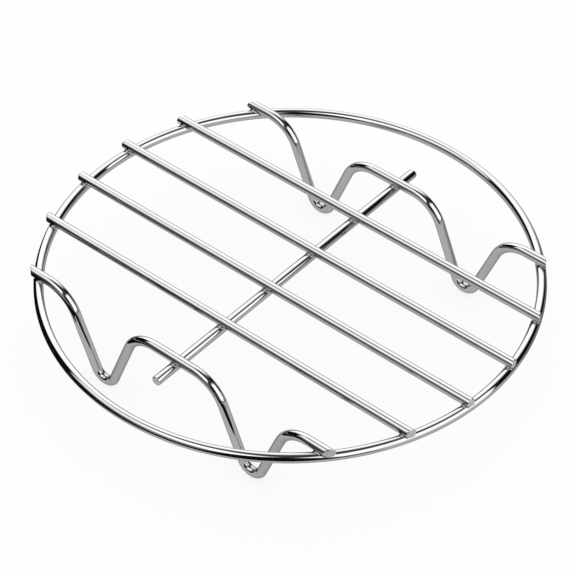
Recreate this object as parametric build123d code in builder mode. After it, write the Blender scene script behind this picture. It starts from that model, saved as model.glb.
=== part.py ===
# Wire trivet rack that stands in a pressure cooker and holds food above the water.
# A round ring carries six parallel rods, and one cross bar ties the rods together from below.
# The two outermost rods are bent down twice each, which makes the four feet.
# Millimetres, +X along the rods, +Y along the cross bar, +Z up.
# The origin is on the ring's axis, at the level that the feet stand on.
import os
from math import asin, atan2, cos, hypot, sqrt, tan

from build123d import *

os.makedirs("parts", exist_ok=True)

# Driving dimensions
wire_diameter = 4.0  # every piece is made of the same round wire
ring_diameter = 200.0  # over the outside of the ring
rack_height = 40.0  # from the feet to the top of the rods
straight_rod_count = 4  # straight rods between the two leg rods
rim_gap = 28.0  # widest clear gap between a leg rod and the ring
stub_length = 6.5  # straight end of a leg rod, from its last bend to the ring's wire axis
foot_width = 56.0  # level distance over which a leg rod dips down and comes up again
upper_bend_radius = 15.0  # to the wire's axis, where a leg leaves the level of the rods
foot_bend_radius = 5.0  # to the wire's axis, at the bottom of a foot
bar_overhang = 11.5  # end of the cross bar past the axis of a leg rod
weld_set_down = 1.0  # how far crossing wires are pressed into each other
weld_bead = 0.2  # how far the bead of a weld stands out past the wire
end_overhang = 0.3  # end of a rod past the outside of the ring, at both ends of a centred rod
rod_shift = -0.8  # how far the rods, with their feet, sit off the ring's middle along X
end_break = 0.35  # rounding of the cut edges of the wires

# Levels and places that follow from them
wire_radius = wire_diameter / 2
ring_radius = ring_diameter / 2
ring_axis_radius = ring_radius - wire_radius
rod_level = rack_height - wire_radius
ring_level = rod_level - wire_diameter + weld_set_down
weld_level = (rod_level + ring_level) / 2
trim_radius = ring_radius + end_overhang
leg_rod_y = ring_axis_radius - wire_radius - rim_gap - wire_radius
rod_pitch = 2 * leg_rod_y / (straight_rod_count + 1)
bar_reach = leg_rod_y + bar_overhang
uncut_reach = trim_radius + wire_diameter


def ring_crossing(y):
    return sqrt(ring_axis_radius**2 - y**2)


# A foot is two straight legs joined by one small bend, with a large bend at the top of each leg.
# Its slope is the one at which both bends and the straight leg fill half the width and the depth.
foot_depth = rod_level - wire_radius
half_foot = foot_width / 2
both_bends = upper_bend_radius + foot_bend_radius
straight_drop = foot_depth - both_bends
leg_slope = asin(both_bends / hypot(half_foot, straight_drop)) + atan2(straight_drop, half_foot)
foot_x = ring_crossing(leg_rod_y) - stub_length - half_foot

# Corners of one foot before its bends are rounded, from the foot's middle and the level of the rods
upper_corner_x = half_foot - upper_bend_radius * tan(leg_slope / 2)
lower_corner_depth = foot_depth + foot_bend_radius * (1 / cos(leg_slope) - 1)
foot_corners = [(-upper_corner_x, 0), (0, -lower_corner_depth), (upper_corner_x, 0)]
foot_bends = [upper_bend_radius, foot_bend_radius, upper_bend_radius]

# Outer ring: one wire bent into a full circle
with BuildPart() as outer_ring:
    with BuildSketch(Plane(origin=(ring_axis_radius, 0, ring_level), x_dir=(0, 0, -1), z_dir=(0, -1, 0))):
        Circle(wire_radius)
    revolve(axis=Axis.Z)

# Cross bar: a straight wire at the level of the ring, under all six rods
with BuildPart() as cross_bar:
    with BuildSketch(Plane(origin=(0, -bar_reach, ring_level), x_dir=(0, 0, -1), z_dir=(0, 1, 0))):
        Circle(wire_radius)
    extrude(amount=2 * bar_reach)
    bar_ends = cross_bar.faces().filter_by(Axis.Y)
    fillet(bar_ends.edges(), end_break)

# Routes of the six rods, as corners and the radii of the bends there, from front to back
straight_route = [(-uncut_reach, rod_level), (uncut_reach, rod_level)]
leg_route = [(-uncut_reach, rod_level)]
for middle in (rod_shift - foot_x, rod_shift + foot_x):
    leg_route += [(middle + x, rod_level + z) for x, z in foot_corners]
leg_route.append((uncut_reach, rod_level))

rods = [("leg_rod_front", -leg_rod_y, leg_route, 2 * foot_bends)]
for number in range(1, straight_rod_count + 1):
    rods.append((f"straight_rod_{number}", number * rod_pitch - leg_rod_y, straight_route, []))
rods.append(("leg_rod_back", leg_rod_y, leg_route, 2 * foot_bends))

# Rods: welded down on the ring and on the cross bar, then sheared off along a circle as wide as the ring.
# The left end stands clear of its weld and has its edge rounded, and the right end is cut through the weld.
for name, y, corners, bends in rods:
    with BuildPart() as rod:
        with BuildLine(Plane(origin=(0, y, 0), x_dir=(1, 0, 0), z_dir=(0, -1, 0))) as route:
            if bends:
                FilletPolyline(*corners, radius=bends)
            else:
                Polyline(*corners)
        with BuildSketch(Plane(origin=route.line @ 0, x_dir=(0, 0, 1), z_dir=route.line % 0)):
            Circle(wire_radius)
        sweep()
        with Locations(*[(x, y, weld_level) for x in (-ring_crossing(y), 0, ring_crossing(y))]):
            Sphere(wire_radius + weld_bead)
        add(outer_ring.part, mode=Mode.SUBTRACT)
        add(cross_bar.part, mode=Mode.SUBTRACT)
        with BuildSketch(Plane(origin=(rod_shift, 0, 0))):
            Circle(trim_radius)
        extrude(amount=rack_height, mode=Mode.INTERSECT)
        left_end = rod.faces().sort_by(Axis.X)[0]
        fillet(left_end.edges(), end_break)
    rod.part.label = name
    export_step(rod.part, f"parts/{name}.step")

outer_ring.part.label = "outer_ring"
export_step(outer_ring.part, "parts/outer_ring.step")

cross_bar.part.label = "cross_bar"
export_step(cross_bar.part, "parts/cross_bar.step")
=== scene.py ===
from math import asin, atan2, cos, hypot, pi, radians, sin, sqrt, tan

import bpy
import numpy as np
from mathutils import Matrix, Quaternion, Vector


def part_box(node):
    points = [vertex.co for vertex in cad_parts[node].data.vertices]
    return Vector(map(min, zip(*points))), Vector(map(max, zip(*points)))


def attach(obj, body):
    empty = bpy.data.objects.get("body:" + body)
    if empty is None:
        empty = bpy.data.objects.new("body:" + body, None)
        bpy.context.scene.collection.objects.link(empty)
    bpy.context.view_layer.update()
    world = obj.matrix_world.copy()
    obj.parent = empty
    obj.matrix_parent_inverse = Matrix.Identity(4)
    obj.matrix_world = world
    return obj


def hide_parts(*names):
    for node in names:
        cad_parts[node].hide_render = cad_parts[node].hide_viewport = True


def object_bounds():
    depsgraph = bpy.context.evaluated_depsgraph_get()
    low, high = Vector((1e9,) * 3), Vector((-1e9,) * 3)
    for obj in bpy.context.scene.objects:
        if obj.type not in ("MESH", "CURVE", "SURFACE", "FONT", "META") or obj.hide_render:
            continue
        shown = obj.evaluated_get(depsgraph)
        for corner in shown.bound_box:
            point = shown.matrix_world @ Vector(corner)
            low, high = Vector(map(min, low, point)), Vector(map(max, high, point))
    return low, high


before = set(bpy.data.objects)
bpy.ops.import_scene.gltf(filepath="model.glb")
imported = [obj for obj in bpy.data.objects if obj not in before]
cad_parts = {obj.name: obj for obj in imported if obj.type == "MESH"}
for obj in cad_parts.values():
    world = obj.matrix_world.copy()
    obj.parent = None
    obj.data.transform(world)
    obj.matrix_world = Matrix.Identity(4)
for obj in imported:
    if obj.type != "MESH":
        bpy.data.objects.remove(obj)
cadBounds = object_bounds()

mm = 0.001
scene = bpy.context.scene
scene.view_settings.view_transform = "Standard"

# What the frame says about the rack: a ring and a cross bar at one level and six rods on top, all of one wire
straightRods = [f"straight_rod_{number}" for number in range(1, 5)]
legRods = {"frontLegRodWire": "leg_rod_front", "backLegRodWire": "leg_rod_back"}
ringLow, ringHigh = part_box("outer_ring")
wireRadius = (ringHigh.z - ringLow.z) / 2
ringRadius = ringHigh.x - wireRadius  # to the wire's axis
ringLevel = (ringLow.z + ringHigh.z) / 2
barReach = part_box("cross_bar")[1].y
rodLevel = cadBounds[1].z - wireRadius
print("frame:", len(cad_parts), "nodes")
print("wire radius %.3f mm, ring radius %.3f mm" % (wireRadius / mm, ringRadius / mm))
print("ring and bar at %.3f mm, rods at %.3f mm" % (ringLevel / mm, rodLevel / mm))


def rodPlace(node):
    low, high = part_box(node)
    return (low.y + high.y) / 2


# Shader maths: a wrapped socket, whose expressions add Math nodes
class Signal:
    def __init__(self, tree, socket=None):
        self.tree = tree
        self.socket = socket

    def node(self, kind, settings=None, sockets=None, output=0):
        made = self.tree.nodes.new(kind)
        for name, value in (settings or {}).items():
            setattr(made, name, value)
        for name, value in (sockets or {}).items():
            if isinstance(value, Signal):
                self.tree.links.new(value.socket, made.inputs[name])
            else:
                made.inputs[name].default_value = value
        return Signal(self.tree, made.outputs[output] if made.outputs else None)

    def maths(self, operation, first, second):
        return self.node("ShaderNodeMath", {"operation": operation}, {0: first, 1: second})

    def __add__(self, other):
        return self.maths("ADD", self, other)

    def __radd__(self, other):
        return self.maths("ADD", other, self)

    def __sub__(self, other):
        return self.maths("SUBTRACT", self, other)

    def __rsub__(self, other):
        return self.maths("SUBTRACT", other, self)

    def __mul__(self, other):
        return self.maths("MULTIPLY", self, other)

    def __rmul__(self, other):
        return self.maths("MULTIPLY", other, self)

    def stretched(self, scale):
        return self.node("ShaderNodeVectorMath", {"operation": "MULTIPLY"}, {0: self, 1: scale})

    def noise(self, detail, roughness):
        sockets = {"Vector": self, "Scale": 1.0, "Detail": detail, "Roughness": roughness}
        return self.node("ShaderNodeTexNoise", {}, sockets, "Fac")

    def between(self, low, high):
        settings = {"interpolation_type": "SMOOTHSTEP"}
        return self.node("ShaderNodeMapRange", settings, {"Value": self, "From Min": low, "From Max": high})

    def tinted(self, first, second):
        return self.node("ShaderNodeMix", {"data_type": "RGBA"}, {0: self, 6: first, 7: second}, 2)

    def bumped(self, depth):
        return self.node("ShaderNodeBump", {}, {"Height": self, "Strength": 1.0, "Distance": depth})


def newMaterial(name):
    material = bpy.data.materials.new(name)
    material.use_nodes = True
    material.node_tree.nodes.clear()
    return material, Signal(material.node_tree)


def showSurface(canvas, shader):
    canvas.node("ShaderNodeOutputMaterial", {}, {"Surface": shader})


def showMetal(canvas, sockets):
    showSurface(canvas, canvas.node("ShaderNodeBsdfPrincipled", {}, {"Metallic": 1.0, **sockets}))


def wireCoords(canvas):
    # Metres along the wire, then the place in its section, where the wire's skin is the unit circle
    return canvas.node("ShaderNodeAttribute", {"attribute_name": "wireCoords"}, {}, "Vector")


# Polished drawn wire: steel with faint lines along the wire and a patchy haze
# A noise is given by its detail and roughness, and a span is the part of it over which its effect grows
polishedWire = {
    "bright": (0.420, 0.423, 0.427, 1),
    "dull": (0.360, 0.363, 0.367, 1),
    "edgeTint": (0.45, 0.45, 0.45, 1),
    "smooth": 0.02,
    "lineScale": (18.0, 7.0, 7.0),
    "lineNoise": (3.0, 0.6),
    "lineSpan": (0.35, 0.70),
    "lineShare": 0.55,  # of the dullness, and the haze has the rest
    "lineRoughness": 0.025,
    "lineDepth": 0.004 * mm,
    "hazeScale": (45.0, 0.8, 0.8),
    "hazeNoise": (2.0, 0.5),
    "hazeSpan": (0.35, 0.75),
    "hazeRoughness": 0.02,
}


def polishedWireMaterial(look):
    material, canvas = newMaterial("polishedWire")
    coords = wireCoords(canvas)
    lines = coords.stretched(look["lineScale"]).noise(*look["lineNoise"])
    drawn = lines.between(*look["lineSpan"])
    haze = coords.stretched(look["hazeScale"]).noise(*look["hazeNoise"]).between(*look["hazeSpan"])
    dullness = look["lineShare"] * drawn + (1 - look["lineShare"]) * haze
    showMetal(canvas, {
        "Base Color": dullness.tinted(look["bright"], look["dull"]),
        "Roughness": look["smooth"] + look["lineRoughness"] * drawn + look["hazeRoughness"] * haze,
        "Specular Tint": look["edgeTint"],
        "Normal": lines.bumped(look["lineDepth"]),
    })
    return material


# Sheared wire ends: satin, with fine marks across the face and a darker burnished rim
cutEnd = {
    "face": (0.46, 0.463, 0.466, 1),
    "rim": (0.33, 0.332, 0.335, 1),
    "rimSpan": (0.72, 0.97),  # shares of the wire's radius
    "rimShare": 0.75,  # of the shading, and the marks have the rest
    "rough": 0.34,
    "markScale": (3.0, 9.0, 1.6),
    "markNoise": (4.0, 0.65),
    "markSpan": (0.40, 0.70),
    "markRoughness": 0.14,
    "markDepth": 0.01 * mm,
}


def cutEndMaterial(look):
    material, canvas = newMaterial("cutEnd")
    coords = wireCoords(canvas)
    marks = coords.stretched(look["markScale"]).noise(*look["markNoise"])
    across = coords.stretched((0.0, 1.0, 1.0))
    fromMiddle = canvas.node("ShaderNodeVectorMath", {"operation": "LENGTH"}, {0: across}, "Value")
    rim = fromMiddle.between(*look["rimSpan"])
    shade = look["rimShare"] * rim + (1 - look["rimShare"]) * marks.between(*look["markSpan"])
    showMetal(canvas, {
        "Base Color": shade.tinted(look["face"], look["rim"]),
        "Roughness": look["rough"] + look["markRoughness"] * marks,
        "Normal": marks.bumped(look["markDepth"]),
    })
    return material


# Weld metal squeezed out between two wires, a little duller than the wire and rippled all over
weldMetal = {
    "bright": (0.42, 0.423, 0.426, 1),
    "dull": (0.34, 0.342, 0.345, 1),
    "smooth": 0.05,
    "rippleScale": (900.0, 900.0, 900.0),  # per metre
    "rippleNoise": (2.0, 0.5),
    "rippleSpan": (0.35, 0.70),
    "rippleRoughness": 0.08,
    "rippleDepth": 0.015 * mm,
}


def weldMetalMaterial(look):
    material, canvas = newMaterial("weldMetal")
    coords = canvas.node("ShaderNodeTexCoord", {}, {}, "Object")
    ripple = coords.stretched(look["rippleScale"]).noise(*look["rippleNoise"])
    showMetal(canvas, {
        "Base Color": ripple.between(*look["rippleSpan"]).tinted(look["bright"], look["dull"]),
        "Roughness": look["smooth"] + look["rippleRoughness"] * ripple,
        "Normal": ripple.bumped(look["rippleDepth"]),
    })
    return material


finishes = [polishedWireMaterial(polishedWire), cutEndMaterial(cutEnd), weldMetalMaterial(weldMetal)]
wireFinish, endFinish, weldFinish = range(len(finishes))
print("finishes:", [material.name for material in finishes])


# Wires: sections of points around the wire, joined by quads
wireShape = {
    "around": 48,
    "endRounding": 0.35 * mm,
    "roundingSteps": 5,
    "supportGap": 0.25 * mm,  # from the rounding to one more section, which keeps the shading even
    "capRings": (0.96, 0.66, 0.33),  # shares of the flat part of a cut end
    "endOverhang": 0.3 * mm,  # past the outside of the ring, at both ends of a centred rod
    "rodShift": -0.8 * mm,  # how far the rods sit off the ring's middle
}
turns = np.arange(wireShape["around"]) * 2 * pi / wireShape["around"]
trimRadius = ringRadius + wireRadius + wireShape["endOverhang"]


def section(centre, first, second, along, radius=wireRadius):
    # One round of points and of wire coordinates, where first x second points along the wire
    outward = np.outer(np.cos(turns), first) + np.outer(np.sin(turns), second)
    share = radius / wireRadius
    coords = np.stack([np.full(len(turns), along), share * np.cos(turns), share * np.sin(turns)], 1)
    return np.array(centre) + radius * outward, coords


def tubeShell(sections, finish=wireFinish, closed=False, insideOut=False, cappedRounds=0):
    points = np.array([points for points, coords in sections])
    coords = np.array([coords for points, coords in sections])
    if closed:
        points = points[:-1]  # the last section only closes the coordinates
    rounds, around = points.shape[:2]
    spans = len(sections) - 1
    steps = [(0, 0), (1, 0), (1, 1), (0, 1)] if insideOut else [(0, 0), (0, 1), (1, 1), (1, 0)]
    shell = {"points": points.reshape(-1, 3).tolist(), "faces": [], "coords": [], "finish": [], "sharp": []}
    for i in range(spans):
        capped = i < cappedRounds or i >= spans - cappedRounds
        for j in range(around):
            corners = [(i + down, (j + across) % around) for down, across in steps]
            shell["faces"].append([(row % rounds) * around + column for row, column in corners])
            shell["coords"] += [coords[row, column] for row, column in corners]
            shell["finish"].append(endFinish if capped else finish)
    if closed:
        return shell
    for row, order in ((0, -1), (rounds - 1, 1)):  # a fan closes each end
        middle = len(shell["points"])
        shell["points"].append(points[row].mean(0).tolist())
        for j in range(around):
            rim = [j, (j + 1) % around][::order]
            shell["faces"].append([row * around + rim[0], row * around + rim[1], middle])
            shell["coords"] += [coords[row, rim[0]], coords[row, rim[1]], coords[row].mean(0)]
            shell["finish"].append(endFinish)
    return shell


def endProfile(shape):
    # Radii of a cut end from the wire's side to its middle, and how far each lies behind the end face
    rounding = shape["endRounding"]
    flat = wireRadius - rounding
    profile = [(wireRadius, rounding + shape["supportGap"])]
    for angle in np.linspace(0, pi / 2, shape["roundingSteps"] + 1):
        profile.append((flat + rounding * cos(angle), rounding * (1 - sin(angle))))
    return profile + [(flat * share, 0.0) for share in shape["capRings"]]


def makePiece(name, node, shells):
    mesh = bpy.data.meshes.new(name)
    points, faces, coords, finish, sharp = [], [], [], [], set()
    for shell in shells:
        start = len(points)
        points += shell["points"]
        faces += [[start + corner for corner in face] for face in shell["faces"]]
        coords += shell["coords"]
        finish += shell["finish"]
        sharp |= {tuple(sorted((start + first, start + second))) for first, second in shell["sharp"]}
    mesh.from_pydata(points, [], faces)
    mesh.shade_smooth()
    mesh.polygons.foreach_set("material_index", finish)
    attribute = mesh.attributes.new("wireCoords", "FLOAT_VECTOR", "CORNER")
    attribute.data.foreach_set("vector", np.array(coords, np.float32).ravel())
    if sharp:
        edges = mesh.attributes.new("sharp_edge", "BOOLEAN", "EDGE")
        edges.data.foreach_set("value", [tuple(sorted(edge.vertices)) in sharp for edge in mesh.edges])
    for material in finishes:
        mesh.materials.append(material)
    piece = bpy.data.objects.new(name, mesh)
    scene.collection.objects.link(piece)
    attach(piece, "root")
    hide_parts(node)
    print("piece:", name, len(mesh.vertices), "points", len(mesh.polygons), "faces")


# Outer ring: one wire bent into a full circle
ringShape = {"rounds": 480}


def ringShell(shape):
    sections = []
    for angle in np.linspace(0, 2 * pi, shape["rounds"] + 1):
        outward = np.array([cos(angle), sin(angle), 0])
        centre = ringRadius * outward + [0, 0, ringLevel]
        sections.append(section(centre, (0, 0, 1), outward, ringRadius * angle))
    return tubeShell(sections, closed=True)


makePiece("ringWire", "outer_ring", [ringShell(ringShape)])


# Cross bar: straight, square-cut
def barShell(shape):
    profile = [(radius, barReach - behind) for radius, behind in endProfile(shape)]
    stops = [(radius, -y) for radius, y in profile[::-1]] + profile
    sections = [section((0, y, ringLevel), (0, 0, 1), (1, 0, 0), y, radius) for radius, y in stops]
    return tubeShell(sections, cappedRounds=len(shape["capRings"]))


makePiece("crossBarWire", "cross_bar", [barShell(wireShape)])


# Welds: the fillet that a ball leaves when it rolls around a crossing of two wires
weldShape = {
    "ball": 0.5 * mm,
    "cutBall": 0.1 * mm,  # towards the end of a rod that is cut through the weld
    "around": 96,
    "arcSteps": 12,
    "coreReach": 0.8 * mm,  # to the closing faces inside the wires
    "endGap": 0.02 * mm,  # from the cut end of the rod
    "searchReach": 5,  # how far the ball is looked for, in distances from its middle to a wire's axis
    "halvings": 50,
}


def ringAxisNear(spots):
    return spots * (ringRadius / np.linalg.norm(spots, axis=1))[:, None]


def barAxisNear(spots):
    return spots * [0, 1]


def restingBall(shape, crossing, plan, reach, lowerAxisNear):
    # The ball touches both wires where its distances in height to their axes add up to the one between them
    near, far = np.zeros(len(plan)), shape["searchReach"] * reach
    for _ in range(shape["halvings"]):
        distance = (near + far) / 2
        spots = crossing + distance[:, None] * plan
        fromLowerAxis = np.linalg.norm(spots - lowerAxisNear(spots), axis=1)
        belowRod = np.sqrt(np.maximum(reach**2 - (distance * plan[:, 1])**2, 0))
        aboveLower = np.sqrt(np.maximum(reach**2 - fromLowerAxis**2, 0))
        inside = belowRod + aboveLower > rodLevel - ringLevel
        near, far = np.where(inside, distance, near), np.where(inside, far, distance)
    return np.column_stack([spots, rodLevel - belowRod])


def weldShell(shape, x, y, lowerAxisNear):
    around = shape["around"]
    angles = np.arange(around) * 2 * pi / around
    plan = np.stack([np.cos(angles), np.sin(angles)], 1)
    towardsCut = np.clip(plan[:, 0], 0, 1) if x > 0 else np.zeros(around)
    ballRadius = shape["ball"] + (shape["cutBall"] - shape["ball"]) * towardsCut
    reach = wireRadius + ballRadius
    ball = restingBall(shape, np.array([x, y]), plan, reach, lowerAxisNear)

    def atLevel(spots, height):
        return np.column_stack([spots, np.full(around, height)])

    # Rows of the fillet, from where the ball touches the rod to where it touches the lower wire
    rodAxis = atLevel(np.column_stack([ball[:, 0], np.full(around, y)]), rodLevel)
    lowerAxis = atLevel(lowerAxisNear(ball[:, :2]), ringLevel)
    toRod, toLower = (rodAxis - ball) / reach[:, None], (lowerAxis - ball) / reach[:, None]
    arc = np.arccos(np.clip((toRod * toLower).sum(1), -1, 1))[:, None]
    rows = []
    for share in np.linspace(0, 1, shape["arcSteps"] + 1):
        way = (np.sin((1 - share) * arc) * toRod + np.sin(share * arc) * toLower) / np.sin(arc)
        rows.append(ball + ballRadius[:, None] * way)
    rows.append(atLevel(np.array([x, y]) + shape["coreReach"] * plan, (rodLevel + ringLevel) / 2))

    # Nothing stands out past the cut ends of the rod
    for row in rows:
        longest = np.sqrt((trimRadius - shape["endGap"])**2 - row[:, 1]**2)
        row[:, 0] = np.clip(row[:, 0], wireShape["rodShift"] - longest, wireShape["rodShift"] + longest)

    sections = [(row, row / wireRadius) for row in rows + rows[:1]]
    shell = tubeShell(sections, weldFinish, closed=True, insideOut=True)
    for first in (0, shape["arcSteps"] * around):  # the fillet's two borders
        shell["sharp"] += [(first + j, first + (j + 1) % around) for j in range(around)]
    return shell


def rodWelds(y):
    crossing = sqrt(ringRadius**2 - y**2)
    shells = [weldShell(weldShape, x, y, ringAxisNear) for x in (-crossing, crossing)]
    return shells + [weldShell(weldShape, 0.0, y, barAxisNear)]


# Rods: the ends are cut off along the outside of the ring
def rodEnd(shape, y, side, along):
    # From the wire's side to the middle of the cut end
    sections = []
    for radius, behind in endProfile(shape):
        points, coords = section((0, y, rodLevel), (0, 1, 0), (0, 0, 1), along, radius)
        points[:, 0] = shape["rodShift"] + side * (np.sqrt(trimRadius**2 - points[:, 1]**2) - behind)
        sections.append((points, coords))
    return sections


def rodShell(shape, y, bent=()):
    # bent holds the sections of a leg rod's feet, and a straight rod has none
    reach = sqrt(trimRadius**2 - y**2)
    last = reach
    if bent:
        points, coords = bent[-1]
        last = coords[0, 0] + reach - points[:, 0].mean()
    sections = rodEnd(shape, y, -1, -reach)[::-1] + list(bent) + rodEnd(shape, y, 1, last)
    return tubeShell(sections, cappedRounds=len(shape["capRings"]))


for node in straightRods:
    y = rodPlace(node)
    makePiece(node.replace("_rod_", "Rod") + "Wire", node, [rodShell(wireShape, y)] + rodWelds(y))

# Leg rods: two feet each, every foot with a wide bend at the top of each leg and a tight one at the bottom
legShape = {
    "stub": 6.5 * mm,  # straight end, from the last bend to the ring's axis
    "footWidth": 56 * mm,
    "upperBend": 15 * mm,  # to the wire's axis, as is the next one
    "footBend": 5 * mm,
    "stepAngle": radians(3),
    "fewestSteps": 4,
}


def legRoute(shape, y):
    # Corners of the route, as X and Z, and the radii of the bends there
    upperBend, footBend = shape["upperBend"], shape["footBend"]
    depth = rodLevel - wireRadius
    half = shape["footWidth"] / 2
    drop = depth - upperBend - footBend
    slope = asin((upperBend + footBend) / hypot(half, drop)) + atan2(drop, half)
    footX = sqrt(ringRadius**2 - y**2) - shape["stub"] - half
    upper = half - upperBend * tan(slope / 2)
    lower = depth + footBend * (1 / cos(slope) - 1)
    corners = [(-ringRadius, rodLevel)]
    for x in (wireShape["rodShift"] - footX, wireShape["rodShift"] + footX):
        corners += [(x - upper, rodLevel), (x, rodLevel - lower), (x + upper, rodLevel)]
    corners.append((ringRadius, rodLevel))
    return corners, 2 * [upperBend, footBend, upperBend]


def legSections(shape, y):
    corners, bends = legRoute(shape, y)
    sections, travelled = [], corners[0][0]
    place = np.array(corners[0])
    for before, corner, after, radius in zip(corners, corners[1:], corners[2:], bends):
        heading = atan2(corner[1] - before[1], corner[0] - before[0])
        turn = atan2(after[1] - corner[1], after[0] - corner[0]) - heading
        side = 1 if turn > 0 else -1
        start = np.array(corner) - radius * tan(abs(turn) / 2) * np.array([cos(heading), sin(heading)])
        centre = start + side * radius * np.array([-sin(heading), cos(heading)])
        travelled += np.linalg.norm(start - place)
        steps = max(shape["fewestSteps"], int(abs(turn) / shape["stepAngle"]))
        for k in range(steps + 1):
            angle = heading + turn * k / steps
            place = centre + side * radius * np.array([sin(angle), -cos(angle)])
            upward = (-sin(angle), 0, cos(angle))
            along = travelled + radius * abs(turn) * k / steps
            sections.append(section((place[0], y, place[1]), (0, 1, 0), upward, along))
        travelled += radius * abs(turn)
    return sections


for name, node in legRods.items():
    y = rodPlace(node)
    makePiece(name, node, [rodShell(wireShape, y, legSections(legShape, y))] + rodWelds(y))

# Camera at the photograph's viewing angle, in degrees
view = {
    "azimuth": 40.559,
    "elevation": 43.501,
    "roll": -0.362,
    "target": Vector((4.99, -7.15, 35.0)) * mm,
    "distance": 959.7 * mm,
    "lens": 154.66,
    "sensor": 36.0,
}


def direction(azimuth, elevation):
    around, upward = radians(azimuth), radians(elevation)
    return Vector((sin(around) * cos(upward), -cos(around) * cos(upward), sin(upward)))


back = direction(view["azimuth"], view["elevation"])
camera = bpy.data.objects.new("camera", bpy.data.cameras.new("camera"))
camera.data.lens = view["lens"]
camera.data.sensor_width = view["sensor"]
camera.rotation_mode = "QUATERNION"
camera.rotation_quaternion = (-back).to_track_quat("-Z", "Y") @ Quaternion((0, 0, 1), radians(view["roll"]))
camera.location = view["target"] + back * view["distance"]
scene.collection.objects.link(camera)
scene.camera = camera
print("camera at", [round(x / mm, 1) for x in camera.location])


# Stage: a pale floor under plain white light, and a studio around it that only the metal's reflections see
def stageMesh(name, points, faces):
    mesh = bpy.data.meshes.new(name)
    mesh.from_pydata(points, [], faces)
    thing = bpy.data.objects.new(name, mesh)
    scene.collection.objects.link(thing)
    return thing


def stageRectangle(name, width, height):
    right, top = width / 2, height / 2
    corners = [(-right, -top, 0), (right, -top, 0), (right, top, 0), (-right, top, 0)]
    return stageMesh(name, corners, [(0, 1, 2, 3)])


def onlyForReflections(thing):
    thing.visible_camera = False
    thing.visible_diffuse = False
    thing.visible_transmission = False
    thing.visible_shadow = False


floorShape = {
    "side": 12.0,
    "colour": (0.98, 0.98, 0.98, 1),
    "glow": 0.8,  # the share that no shadow dims
}


def floorMaterial(look):
    material, canvas = newMaterial("paleFloor")
    rays = ("Is Camera Ray", "Is Glossy Ray", "Is Transmission Ray")
    seen, mirrored, transmitted = [canvas.node("ShaderNodeLightPath", {}, {}, ray) for ray in rays]
    lit = canvas.node("ShaderNodeBsdfDiffuse", {}, {"Color": look["colour"]})
    white = canvas.node("ShaderNodeEmission", {}, {"Color": (1, 1, 1, 1), "Strength": 1.0})
    share = look["glow"] * (seen + mirrored + transmitted)
    showSurface(canvas, canvas.node("ShaderNodeMixShader", {}, {0: share, 1: lit, 2: white}))
    return material


floor = stageRectangle("floor", floorShape["side"], floorShape["side"])
floor.data.materials.append(floorMaterial(floorShape))

world = bpy.data.worlds.new("studio")
world.use_nodes = True
world.node_tree.nodes.clear()
canvas = Signal(world.node_tree)
daylight = canvas.node("ShaderNodeBackground", {}, {"Color": (1, 1, 1, 1), "Strength": 1.0})
canvas.node("ShaderNodeOutputWorld", {}, {"Surface": daylight})
scene.world = world

# Dark room around the set, a little lighter overhead
room = {
    "radius": 8.0,
    "segments": 64,
    "rings": 32,
    "walls": (0.008, 0.008, 0.008, 1),
    "ceiling": (0.1, 0.1, 0.1, 1),
    "ceilingSpan": (0.8, 1.0),  # shares of the room's height
}


def roomMaterial(look):
    material, canvas = newMaterial("darkRoom")
    coords = canvas.node("ShaderNodeTexCoord", {}, {}, "Generated")
    height = canvas.node("ShaderNodeSeparateXYZ", {}, {"Vector": coords}, "Z")
    colour = height.between(*look["ceilingSpan"]).tinted(look["walls"], look["ceiling"])
    showSurface(canvas, canvas.node("ShaderNodeEmission", {}, {"Color": colour, "Strength": 1.0}))
    return material


bpy.ops.mesh.primitive_uv_sphere_add(
    radius=room["radius"], segments=room["segments"], ring_count=room["rings"])
darkRoom = bpy.context.object
darkRoom.name = "darkRoom"
darkRoom.data.materials.append(roomMaterial(room))
onlyForReflections(darkRoom)

# Softboxes, by where they stand as seen from the rack
# "fades" are the widths over which the glow fades in from the left, right, lower and upper edge, as shares
softboxDistance = 2.0
softboxes = {
    "backSoftbox": {
        "azimuth": 219, "elevation": 28, "width": 3.33, "height": 4.9,
        "strength": 2.55, "fades": (0.33, 0.07, 0.4, 0.37),
    },
    "sideSoftbox": {
        "azimuth": 89, "elevation": 29.5, "width": 2.9, "height": 2.55,
        "strength": 2.5, "fades": (0.1, 0.03, 0.2, 0.18),
    },
    "frontSoftbox": {
        "azimuth": 337, "elevation": 47, "width": 2.55, "height": 2.0,
        "strength": 2.15, "fades": (0.03, 0.1, 0.6, 0.2),
    },
    "lowFrontSoftbox": {
        "azimuth": 341, "elevation": 30, "width": 2.4, "height": 4.6,
        "strength": 1.2, "fades": (1.0, 0.1, 1.0, 0.2),
    },
}


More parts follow.
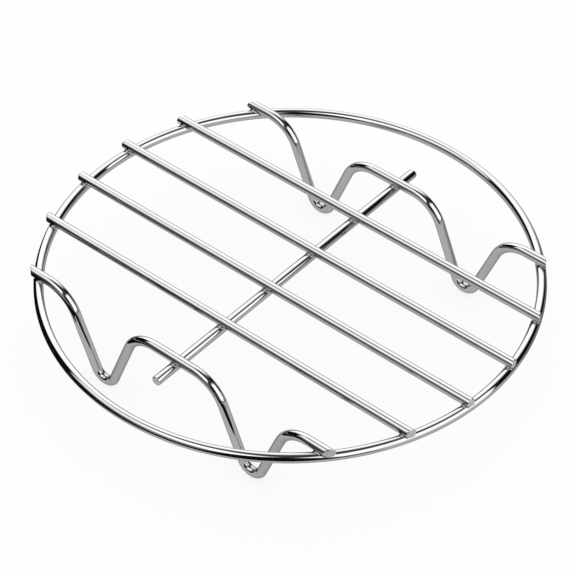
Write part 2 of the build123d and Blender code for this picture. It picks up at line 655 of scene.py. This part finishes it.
def softboxMaterial(name, box):
    material, canvas = newMaterial(name)
    coords = canvas.node("ShaderNodeTexCoord", {}, {}, "Generated")
    across, upward = [canvas.node("ShaderNodeSeparateXYZ", {}, {"Vector": coords}, axis) for axis in "XY"]
    mask = box["strength"]
    for fromEdge, fade in zip((across, 1 - across, upward, 1 - upward), box["fades"]):
        mask = mask * fromEdge.between(0.0, fade)
    glow = canvas.node("ShaderNodeEmission", {}, {"Color": mask, "Strength": 1.0})
    clear = canvas.node("ShaderNodeBsdfTransparent")
    showSurface(canvas, canvas.node("ShaderNodeAddShader", {}, {0: clear, 1: glow}))
    return material


for name, box in softboxes.items():
    away = direction(box["azimuth"], box["elevation"])
    softbox = stageRectangle(name, box["width"], box["height"])
    softbox.rotation_mode = "QUATERNION"
    softbox.rotation_quaternion = away.to_track_quat("Z", "Y")
    softbox.location = away * softboxDistance
    softbox.data.materials.append(softboxMaterial(name, box))
    onlyForReflections(softbox)

# Cards lying on the floor around what the camera sees: dark on the left and in front, grey on the right
floorCards = {
    "reach": 5.9,
    "lift": 0.5 * mm,
    "margin": 1.02,  # around the picture
    "push": 0.06,  # how far the front right corner lies off the picture
    "dark": (0.006, 0.006, 0.006, 1),
    "grey": (0.45, 0.45, 0.45, 1),
    "greyPart": (0.3, 0.7),  # where the grey card starts and ends along the right side
}


def seenFloorCorners(margin):
    slope = margin * view["sensor"] / 2 / view["lens"]
    corners = []
    for x, y in ((-1, -1), (1, -1), (1, 1), (-1, 1)):
        ray = camera.rotation_quaternion @ Vector((x * slope, y * slope, -1))
        corners.append(camera.location - ray * (camera.location.z / ray.z))
    return corners


def floorCard(name, nearPoints, shade):
    farPoints = [point.normalized() * floorCards["reach"] for point in nearPoints]
    points = [(point.x, point.y, floorCards["lift"]) for point in nearPoints + farPoints]
    count = len(nearPoints)
    card = stageMesh(name, points, [(k, k + 1, count + k + 1, count + k) for k in range(count - 1)])
    material, canvas = newMaterial(name)
    showSurface(canvas, canvas.node("ShaderNodeEmission", {}, {"Color": shade, "Strength": 1.0}))
    card.data.materials.append(material)
    onlyForReflections(card)


lowerLeft, lowerRight, upperRight, upperLeft = seenFloorCorners(floorCards["margin"])
frontRight = lowerRight + Vector((back.x, back.y, 0)).normalized() * floorCards["push"]
greyEdge = [lowerRight.lerp(upperRight, share) for share in floorCards["greyPart"]]
floorCard("darkFloorCard", [upperLeft, lowerLeft, frontRight], floorCards["dark"])
floorCard("greyFloorCard", greyEdge, floorCards["grey"])
